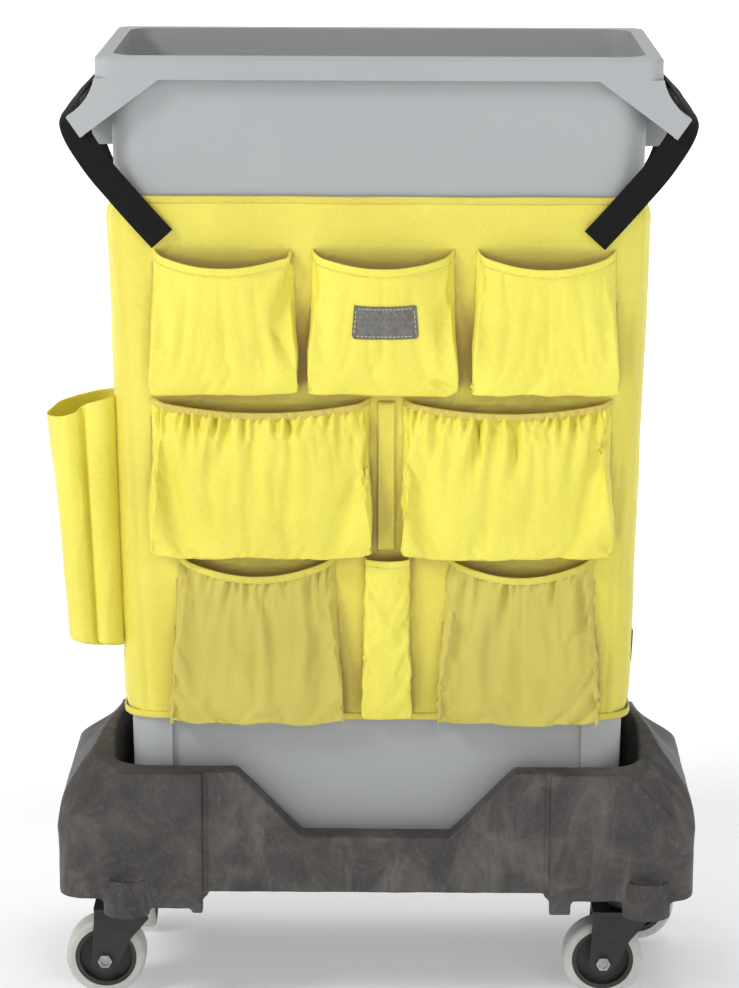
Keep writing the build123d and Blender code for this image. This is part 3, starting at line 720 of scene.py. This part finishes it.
PUFFY = dict(droop=15.5, dip=0.62, depths=(19, 28, 27), flare=1.0, sag=-1, hem=8.0, slack=0.003, pressure=2.0)
GATHERED = dict(droop=12, depths=(22, 31, 13), turn_in=0.80, peak=0.92, flare=1.0, sag=-3, gathers=52,
                held="gathered", top=0.985, lift=7.5 * MM, boxy=0.8, slack=0.012, pressure=1.8)
MESHED = dict(droop=20, depths=(16, 22, 14), flare=1.04, sag=5, material=mesh_cloth, gathers=20, lift=9 * MM,
              slack=0.022, turn_in=0.7, peak=0.95, boxy=0.9, rounding=2.0, nub=6.0)
pockets = [
    Pocket("pocket_top_left", seed=13, **PUFFY, folds=[
        (0.97, 0.95, 0.62, 0.50, -6.5, 9), (0.66, 0.52, 0.97, 0.12, -4.5, 8),
        (0.55, 0.04, 0.90, 0.16, -3.2, 4), (-0.97, 0.06, -0.76, 0.2, -2.6, 4),
        (-0.7, 0.85, -0.35, 0.2, 1.2, 9)]),
    Pocket("pocket_top_centre", seed=29, **PUFFY, folds=[
        (-0.95, 0.93, -0.75, 0.55, -2.5, 6), (0.6, 0.22, 0.97, 0.06, -4.2, 5),
        (-0.98, 0.08, -0.72, 0.22, -3.2, 5), (0.93, 0.9, 0.8, 0.55, -3, 6)]),
    Pocket("pocket_top_right", seed=46, **PUFFY, folds=[
        (-0.95, 0.95, -0.72, 0.62, -4.5, 6), (-0.55, 0.9, -0.42, 0.6, -2.0, 4),
        (-0.98, 0.06, -0.74, 0.24, -3.6, 5), (0.98, 0.08, 0.78, 0.2, -2.6, 4),
        (0.3, 0.85, 0.35, 0.3, 1.0, 12)]),
    Pocket("pocket_middle_left", seed=61, **GATHERED, folds=[
        (0.98, 0.8, 0.70, 0.30, -7, 10), (-0.06, 0.97, -0.02, 0.42, -4.2, 5), (-0.88, 0.9, -0.66, 0.5, -4, 6),
        (0.98, 0.05, 0.7, 0.15, -2.5, 5)]),
    Pocket("pocket_middle_right", seed=84, **GATHERED, folds=[
        (-0.98, 0.82, -0.76, 0.42, -5.5, 8), (-0.9, 0.45, -0.82, 0.12, -3, 8),
        (0.95, 0.92, 0.66, 0.55, -5, 7), (0.6, 0.97, 0.52, 0.5, -3.4, 5), (0.75, 0.2, 0.99, 0.08, -2.5, 5)]),
    Pocket("mesh_pocket_left", seed=33, **MESHED, folds=[
        (0.1, 0.85, 0.35, 0.3, -4, 7), (-0.75, 0.9, -0.30, 0.1, -5, 8), (0.62, 0.9, 0.7, 0.15, -5, 8),
        (-0.2, 0.55, 0.1, 0.1, 3, 12), (-0.95, 0.3, -0.6, 0.05, -2, 6)]),
    Pocket("mesh_pocket_right", seed=52, **MESHED, folds=[
        (-0.2, 0.9, -0.25, 0.4, -4, 8), (0.75, 0.9, 0.85, 0.15, -5.5, 7), (-0.66, 0.9, -0.72, 0.2, -5, 8),
        (0.3, 0.6, 0.4, 0.1, 3, 12), (0.9, 0.3, 0.5, 0.05, -2, 7)]),
    Pocket("narrow_pocket", seed=75, droop=2, depths=(11, 13, 12), sag=3, hem=6.0, boxy=0.5,
           folds=[(-0.5, 0.8, -0.3, 0.3, -1.2, 5)]),
]
for pocket in pockets:
    pocket.simulate()
scene.frame_start = 1
scene.frame_end = SIM_FRAMES
for step in range(1, SIM_FRAMES + 1):
    scene.frame_set(step)
puffed = [pocket.simulated() for pocket in pockets]
for pocket in pockets:
    bpy.data.objects.remove(pocket.sheet)
scene.frame_set(1)
for pocket, points in zip(pockets, puffed):
    pocket.finish(points)
by_node = {pocket.node: pocket for pocket in pockets}


def mouth_tape(pocket, node, height, thickness, material, lumps, drop=0.0):
    """A tape folded over the mouth of a pocket, following its curve."""
    line = pocket.grid[-1].copy()
    for _ in range(12):
        line[1:-1] = (line[:-2] + line[1:-1] * 2 + line[2:]) / 4
    line[:, 2] -= drop
    line[:, 1] -= 0.9 * MM
    outs = np.gradient(line, axis=0)
    outs = np.stack([outs[:, 1], -outs[:, 0], 0 * outs[:, 2]], axis=1)
    outs /= np.maximum(1e-9, np.linalg.norm(outs, axis=1))[:, None]
    kernel = np.ones(9) / 9
    for k in range(3):
        padded = np.pad(outs[:, k], 4, mode="edge")
        outs[:, k] = np.convolve(padded, kernel, mode="valid")
    piece = tape(node + "_tape", line - outs * thickness * 0.35, outs, height, thickness, material, lumps,
                 pocket.seed)
    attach(piece, "bin")
    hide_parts(node)
    stitched = line + outs * thickness * 0.62
    stitched[:, 2] -= height * 0.34
    stitch(stitched, outs, 2.2 * MM, 1.4 * MM, 0.3 * MM)


for side in ("left", "right"):
    mouth_tape(by_node[f"pocket_middle_{side}"], f"elastic_middle_{side}", 6.5 * MM, 2.0 * MM, elastic_cloth,
               0.8, 1.5 * MM)
    mouth_tape(by_node[f"mesh_pocket_{side}"], f"mesh_binding_{side}", 7.0 * MM, 1.8 * MM, binding_cloth,
               0.25, 2.5 * MM)

# ---------------------------------------------------------------- flat strip, patch and tab


def flat_piece(name, node, corner, across, upward, out, size, thickness, material, wave=0.3, pieces=30):
    """A small flat piece of cloth with rounded edges, gently uneven, lying on what is behind it."""
    corner, across, upward, out = Vector(corner), Vector(across), Vector(upward), Vector(out)
    rows = []
    for j in range(pieces + 1):
        row = []
        for i in range(pieces + 1):
            a, b = i / pieces, j / pieces
            edge = min(1, min(a, 1 - a) * size[0] / (1.2 * MM), min(b, 1 - b) * size[1] / (1.2 * MM))
            p = corner + across * (a * size[0]) + upward * (b * size[1])
            lift = thickness * (0.35 + 0.65 * edge ** 0.5) + wave * MM * wave_noise(p.x, p.y, p.z, 0.02, 5)
            row.append(p + out * lift)
        rows.append(row)
    made = thicken(grid_object(name, rows, material), thickness)
    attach(made, "bin")
    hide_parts(node)
    return made, rows


STRIP_STEPS = 40
low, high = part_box("centre_strip")
lean_up = Vector((0, -(bag_half(high.z)[1] - bag_half(low.z)[1]), high.z - low.z)).normalized()
strip_size = (high.x - low.x, high.z - low.z)
strip_corner = (low.x, -bag_half(low.z)[1] - 2.2 * MM, low.z)
strip, strip_rows = flat_piece("centre_strip_cloth", "centre_strip", strip_corner, (1, 0, 0), lean_up,
                               (0, -1, 0), strip_size, 1.4 * MM, bag_cloth, 0.5, STRIP_STEPS)
for i in (4, STRIP_STEPS - 4):
    stitch([row[i] for row in strip_rows], [(0, -1, 0)] * len(strip_rows))

# the patch follows the front of the middle top pocket
PATCH_LEVEL = 0.78              # share of the pocket's height at which the patch's width is taken
pocket = by_node["pocket_top_centre"]
low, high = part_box("badge_patch")
up_the_middle = pocket.grid[:, pocket.grid.shape[1] // 2, 2]
patch_rows = np.where((up_the_middle >= low.z - 2 * MM) & (up_the_middle <= high.z))[0]
across_it = pocket.grid[int(PATCH_LEVEL * (len(pocket.grid) - 1)), :, 0]
patch_columns = np.where((across_it >= low.x) & (across_it <= high.x))[0]
window = np.ix_(patch_rows, patch_columns)
patch_grid = pocket.grid[window] + pocket.out[window] * 1.0 * MM
patch_grid = finer(patch_grid, 2 * len(patch_rows), 2 * len(patch_columns))
patch = grid_object("plain_patch", patch_grid, patch_cloth)
PATCH_CORNER = 4 * MM
left, right = patch_grid[:, :, 0].min(), patch_grid[:, :, 0].max()
bottom, top = patch_grid[:, :, 2].min(), patch_grid[:, :, 2].max()
mesh = bmesh.new()
mesh.from_mesh(patch.data)
outside = []
for vertex in mesh.verts:
    beside = max(left + PATCH_CORNER - vertex.co.x, vertex.co.x - right + PATCH_CORNER, 0)
    beyond = max(bottom + PATCH_CORNER - vertex.co.z, vertex.co.z - top + PATCH_CORNER, 0)
    if beside > 0 and beyond > 0 and math.hypot(beside, beyond) > PATCH_CORNER:
        outside.append(vertex)
bmesh.ops.delete(mesh, geom=outside, context="VERTS")
mesh.to_mesh(patch.data)
mesh.free()
thicken(patch, 1.0 * MM)
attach(patch, "bin")
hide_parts("badge_patch")
inset, clear = 3, 5             # grid steps from an edge to its stitches, and from a corner to the first one
for line in (patch_grid[-1 - inset, clear:-clear], patch_grid[inset, clear:-clear],
             patch_grid[clear:-clear, inset], patch_grid[clear:-clear, -1 - inset]):
    stitch(line, [(0, -1, 0.1)] * len(line), 2.0 * MM, 1.0 * MM, 0.3 * MM)

low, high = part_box("pull_tab")
tab_size = (high.y - low.y, high.z - low.z)
flat_piece("pull_tab_webbing", "pull_tab", (high.x - 1 * MM, low.y, low.z), (0, 1, 0), (0.04, 0, 1),
           (1, 0, 0), tab_size, 1.8 * MM, webbing)

# ---------------------------------------------------------------- painted shade in the recesses


RAYS = 20                       # directions looked in from each point
SIGHT = 60 * MM                 # how far each one looks
CLEAR = 1.5 * MM                # how far off the cloth it starts
LEAN = 1.05                     # how much the rays lean towards the cloth's own direction
FRONT_SHADE = 0.13                     # painted shade on the open front
RECESS_SHADE = 0.85                     # painted shade that a deep recess adds to it


def shaded(target, blockers):
    """Store how deep in a recess each point of the cloth's front lies, as painted shade for the cloth's colour.
    """
    graph = bpy.context.evaluated_depsgraph_get()
    trees = [BVHTree.FromObject(blocker, graph) for blocker in blockers]
    rays = [Vector(ray).normalized() for ray in np.random.default_rng(5).normal(size=(RAYS, 3))]
    mesh = target.data
    values = np.zeros(len(mesh.vertices))
    places = np.empty(len(values) * 3)
    facing = np.empty(len(values) * 3)
    mesh.vertices.foreach_get("co", places)
    mesh.vertices.foreach_get("normal", facing)
    places, facing = places.reshape(-1, 3), facing.reshape(-1, 3)
    on_front = (places[:, 1] < -0.75 * LOW_Y) & (facing[:, 1] < -0.5)
    for k in np.where(on_front)[0]:
        normal = Vector(facing[k])
        start = Vector(places[k]) + normal * CLEAR
        hits = 0
        for ray in rays:
            way = (ray + normal * LEAN).normalized()
            if any(blocker.ray_cast(start, way, SIGHT)[0] is not None for blocker in trees):
                hits += 1
        values[k] = FRONT_SHADE + RECESS_SHADE * smoothstep(0.04, 0.85, hits / RAYS)
    layer = mesh.attributes.new("painted_shade", "FLOAT", "POINT")
    layer.data.foreach_set("value", values)


# painted shade: the pockets' occlusion is stored on the sleeve and the centre strip, to darken their colour
for cloth in (sleeve, strip):
    shaded(cloth, [pocket.obj for pocket in pockets])

# ---------------------------------------------------------------- side pouch


def curve_through(points, count):
    """Points evenly spaced in step along a smooth curve through the given ones."""
    points = np.asarray(points, float)
    return finer(points[:, None, :], count, 1)[:, 0]


low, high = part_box("side_pouch")
# the pouch seen from above in millimetres: out from the wall, and back from its front seam
POUCH_PLAN = [(0, 6), (7, -5), (17, -9), (27, -6), (31, 2), (36, -5), (47, -7), (58, 2), (64, 18), (64, 40),
              (58, 62), (44, 80), (24, 92), (8, 90), (0, 82)]
POUCH_ROUND = 170
POUCH_LEVELS = 110
POUCH_FLOOR = 0.07              # share of the height in which the floor curls in
POUCH_DROP = 12 * MM            # how far the cloth sags below its solid
plan = curve_through(POUCH_PLAN, POUCH_ROUND) * MM
POUCH_OUT, POUCH_BACK = 30 * MM, 42 * MM      # the middle of the plan
rows = []
for j in range(POUCH_LEVELS + 1):
    v = j / POUCH_LEVELS
    gather_in = 0.15 + 0.85 * smoothstep(0, POUCH_FLOOR, v)
    opening = smoothstep(0.5, 1, v)
    row = []
    for k, (out_from_wall, back) in enumerate(plan):
        s = k / (POUCH_ROUND - 1)
        out_from_wall = out_from_wall * (0.80 + 0.20 * v) * gather_in
        along = POUCH_BACK + (back - POUCH_BACK) * (0.93 + 0.07 * v) * gather_in
        lip = 6 * math.cos(2 * math.pi * (s - 0.06)) - 5 * math.sin(math.pi * s) - 9 * s ** 1.5
        lip *= MM * opening
        z = low.z - POUCH_DROP + (high.z - low.z + 9 * MM) * max(0, v - 0.03) / 0.97 + lip
        x = -bag_half(z)[0] - 1.5 * MM - out_from_wall
        y = low.y + along
        crumple = 1.6 * MM * wave_noise(x, y, z * 0.5, 0.03, 3) + 1.4 * MM * ridge(x, y, z * 0.35, 0.04, 6)
        crumple *= math.sin(math.pi * s) ** 0.5 * smoothstep(0, POUCH_FLOOR, v)
        centre = Vector((-bag_half(z)[0] - POUCH_OUT, low.y + POUCH_BACK, z))
        away = (Vector((x, y, z)) - centre).normalized()
        row.append((x + away.x * crumple, y + away.y * crumple, z))
    rows.append(row)
pouch = thicken(grid_object("side_pouch_cloth", rows, bag_cloth), 1.3 * MM, inward=False)
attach(pouch, "bin")
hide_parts("side_pouch")

# ---------------------------------------------------------------- straps


STRAP_WIDTH = 25.4 * MM
STRAP_STEPS = 460
STRAP_ROUND = 24


def strap(name, side):
    """Webbing from a front corner of the bag, round the hood's end and over it, to the back corner."""
    # millimetres, at the right side: up the front, round the hood's end and along its top, then down the back
    front = [(195, -133.5, 744), (214, -134, 765), (233, -134.5, 787), (249, -135, 806), (261, -134.5, 823),
             (270, -132, 837), (275.5, -126, 848), (278, -116, 856), (278, -100, 860), (276.5, -78, 862.5),
             (275.5, -50, 864.5), (274.5, 0, 865.5)]
    rear = [(275.5, 50, 864.5), (276.5, 78, 862.5), (278, 100, 860), (280, 118, 853), (282, 129, 836),
            (282, 133, 812), (277, 134, 787), (266, 134.5, 766), (246, 134.5, 752), (222, 134, 745),
            (195, 133.5, 744)]
    path = front + rear
    line = curve_through([(side * x * MM, y * MM, z * MM) for x, y, z in path], STRAP_STEPS)
    wide = Vector((side * -0.70, 0, 0.72))
    ring = []
    for k in range(STRAP_ROUND):
        turn = 2 * math.pi * k / STRAP_ROUND
        ring.append((math.copysign(abs(math.cos(turn)) ** 0.35, math.cos(turn)) * STRAP_WIDTH / 2,
                     math.copysign(abs(math.sin(turn)) ** 0.5, math.sin(turn)) * 1.1 * MM))
    rows = []
    tangents = np.gradient(line, axis=0)
    length = 0.0
    lengths = []
    for k, (point, tangent) in enumerate(zip(line, tangents)):
        tangent = Vector(tangent).normalized()
        across = (wide - tangent * wide.dot(tangent)).normalized()
        out = tangent.cross(across).normalized()
        if k:
            length += float(np.linalg.norm(line[k] - line[k - 1]))
        lengths.append(length)
        rows.append([tuple(Vector(point) + across * a + out * b) for a, b in ring])
    made = grid_object(name + "_webbing", rows, webbing, closed=True)
    layer = made.data.uv_layers.new(name="run")
    for polygon in made.data.polygons:
        corners = [made.data.loops[i].vertex_index for i in polygon.loop_indices]
        for i, vertex in zip(polygon.loop_indices, corners):
            over = ring[vertex % STRAP_ROUND][0] + STRAP_WIDTH / 2
            layer.data[i].uv = (over, lengths[vertex // STRAP_ROUND])
    close_ends(made)
    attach(made, "bin")
    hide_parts(name)


strap("strap_left", -1)
strap("strap_right", 1)

sewing = mesh_object("stitching", stitch_points, stitch_faces, thread)
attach(sewing, "bin")

# ---------------------------------------------------------------- dolly, softened as a moulding
VOXEL = 2.1 * MM
LEDGE = (198 * MM, 245 * MM)    # heights between which the rear corners begin to fall away
REARWARD = (-40 * MM, 60 * MM)  # where that begins, going back
INNER = 235 * MM                # how far out the falling away begins
SHOULDER = 205 * MM             # height of the fullest part of the ends
ENDS = (235 * MM, 285 * MM)     # where the ends begin to swell, going out
source = nodes["dolly_frame"]
dolly = source.copy()
dolly.data = source.data.copy()
dolly.name = "dolly_moulding"
scene.collection.objects.link(dolly)
whole = dolly.modifiers.new("whole", "REMESH")
whole.mode = "VOXEL"
whole.voxel_size = VOXEL
soft = dolly.modifiers.new("soft", "SMOOTH")
soft.factor = 0.5
soft.iterations = 3
settle(dolly)
count = len(dolly.data.vertices)
surface = np.empty(count * 3)
facing = np.empty(count * 3)
dolly.data.vertices.foreach_get("co", surface)
dolly.data.vertices.foreach_get("normal", facing)
surface, facing = surface.reshape(-1, 3), facing.reshape(-1, 3)
uneven = np.array([0.5 * wave_noise(*p, 0.045, 2.0) + 0.25 * wave_noise(*p, 0.012, 4.0)
                   for p in surface.tolist()])
surface = surface + facing * uneven[:, None] * MM
side, back, height = np.abs(surface[:, 0]), surface[:, 1], surface[:, 2]


def ease(low, high, values):
    t = np.clip((values - low) / (high - low), 0, 1)
    return t * t * (3 - 2 * t)


# the ends swell a little at their shoulders, and the rear corners fall away
hollow = 0.5 * ease(*LEDGE, height) * ease(*REARWARD, back)
swell = (3.5 + 4 * np.exp(-(((height - SHOULDER) / (20 * MM)) ** 2))) * MM
wider = side - np.maximum(0, side - INNER) * hollow + swell * ease(*ENDS, side)
surface[:, 0] = np.sign(surface[:, 0]) * wider
dolly.data.vertices.foreach_set("co", surface.ravel())
dolly.data.update()
dolly.data.materials.clear()
dolly.data.materials.append(FINISHES["dolly_resin"])
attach(dolly, "dolly")
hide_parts("dolly_frame")

# ---------------------------------------------------------------- camera, light and floor
camera_data = bpy.data.cameras.new("camera")
camera = bpy.data.objects.new("camera", camera_data)
scene.collection.objects.link(camera)
camera_data.sensor_fit = "HORIZONTAL"
camera_data.sensor_width = 36
camera_data.lens = 164.2
camera_data.clip_end = 100
LOOK_DOWN, ROLL, TURN = 13.57, -0.17, 0.465    # degrees
camera.location = (0.015, -3.1397, 1.234)
camera.rotation_euler = (math.radians(90 - LOOK_DOWN), math.radians(ROLL), math.radians(TURN))
scene.camera = camera

floor_material, tree, shader = new_material("white_floor")
where = place(tree)
tint = ramp(tree, grain(tree, where, 3, 3), (0.3, (0.80, 0.81, 0.82)), (0.7, (0.84, 0.845, 0.85)))
link(tree, tint, shader.inputs["Base Color"])
shader.inputs["Roughness"].default_value = 0.7
shader.inputs["Emission Color"].default_value = (0.96, 0.98, 1.0, 1)
# the floor is dimmest under the object and white from 2.6 m on
reach = add(tree, "VectorMath", {"Vector": where}, operation="LENGTH").outputs["Value"]
away = calc(tree, "MULTIPLY", calc(tree, "SUBTRACT", reach, 0.6), 0.5)
link(tree, span(tree, away, 0.27, 1.0), shader.inputs["Emission Strength"])
RADII = [0.0, 0.4, 0.8, 1.2, 1.6, 2.0, 2.6, 4.0, 8.0, 20.0, 60.0]
turns = np.linspace(0, 2 * math.pi, 65)
floor = grid_object("floor", [[(r * math.cos(a), r * math.sin(a), 0) for a in turns] for r in RADII],
                    floor_material)


def area_light(name, place_at, aim, size, power):
    data = bpy.data.lights.new(name, "AREA")
    data.shape = "RECTANGLE"
    data.size, data.size_y = size
    data.energy = power
    lamp = bpy.data.objects.new(name, data)
    scene.collection.objects.link(lamp)
    lamp.location = place_at
    lamp.rotation_euler = (Vector(aim) - Vector(place_at)).to_track_quat("-Z", "Y").to_euler()


area_light("key", (-2.4, -1.8, 2.7), (0, 0, 0.45), (0.9, 0.9), 55)
area_light("fill", (1.2, -3.0, 2.0), (0, 0, 0.45), (1.2, 1.2), 16)
area_light("top", (0.2, 0.9, 3.0), (0, 0.5, 0), (2.6, 1.8), 32)
# the surroundings are white at the horizon and dimmer above
world = bpy.data.worlds.new("studio")
scene.world = world
world.use_nodes = True
tree = world.node_tree
background = tree.nodes["Background"]
background.inputs["Color"].default_value = (1, 1, 1, 1)
direction = add(tree, "TexCoord").outputs["Generated"]
upward = add(tree, "SeparateXYZ", {"Vector": direction}).outputs["Z"]
link(tree, span(tree, calc(tree, "MULTIPLY", upward, 3.0), 1.0, 0.36), background.inputs["Strength"])
scene.view_settings.view_transform = "Standard"
